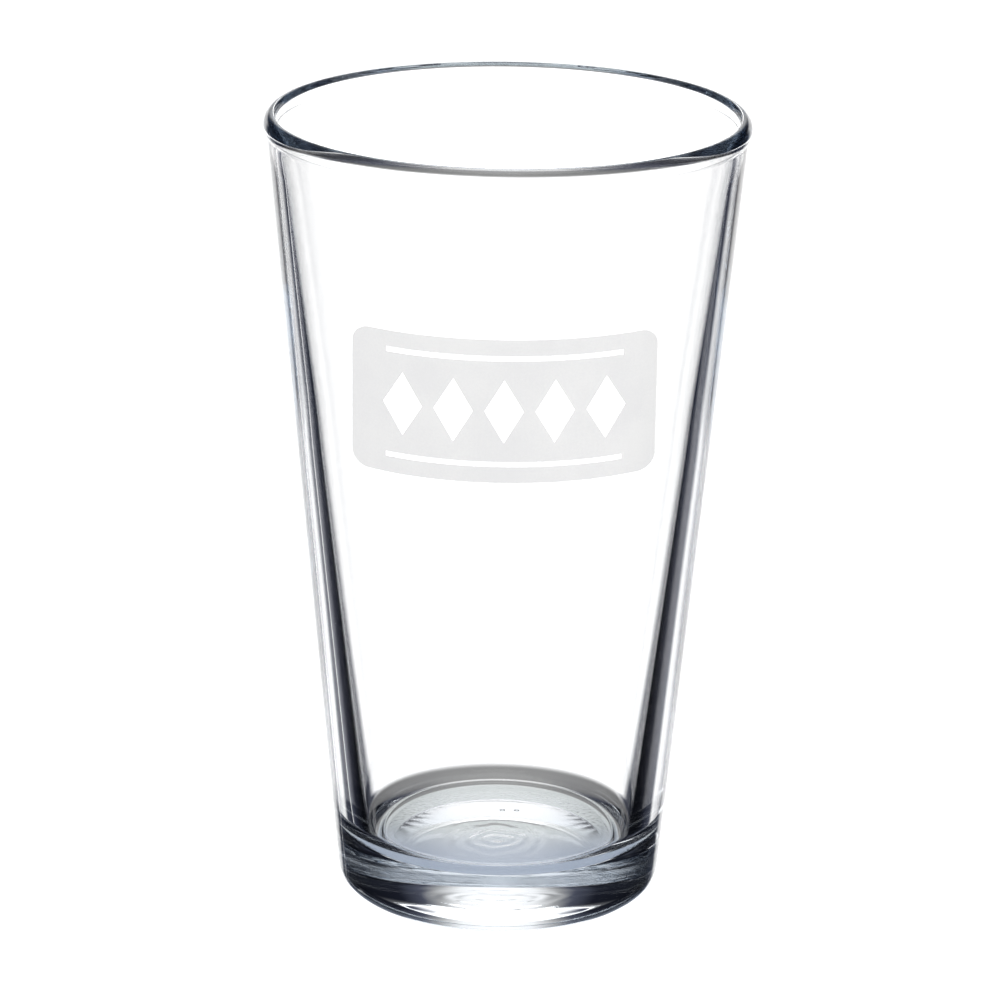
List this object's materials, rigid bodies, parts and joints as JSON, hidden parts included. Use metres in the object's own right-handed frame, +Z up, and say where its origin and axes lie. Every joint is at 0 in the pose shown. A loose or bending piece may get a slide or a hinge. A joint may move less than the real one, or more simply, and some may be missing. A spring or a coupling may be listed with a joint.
{
  "type": "pint glass",
  "caption": "Tapered clear glass pint tumbler with a rolled rim bead, a thick base hollowed underneath and a pale grey fired-on label with clear diamonds on its front",
  "frame": {"origin": "centre of the bearing ring under the base, on the glass's axis, at table height", "axes": "+Z up along the glass's axis, -Y towards the printed front, +X to the right of a viewer who faces the print"},
  "size_m": [0.0888, 0.0888, 0.1492],
  "materials": {
    "clear_glass": "clear soda-lime glass, fire polished",
    "fired_ink": "pale grey fired enamel print, satin"
  },
  "bodies": {
    "root": {"tumbler": "clear_glass", "printed_label": "fired_ink"}
  },
  "joints": []
}
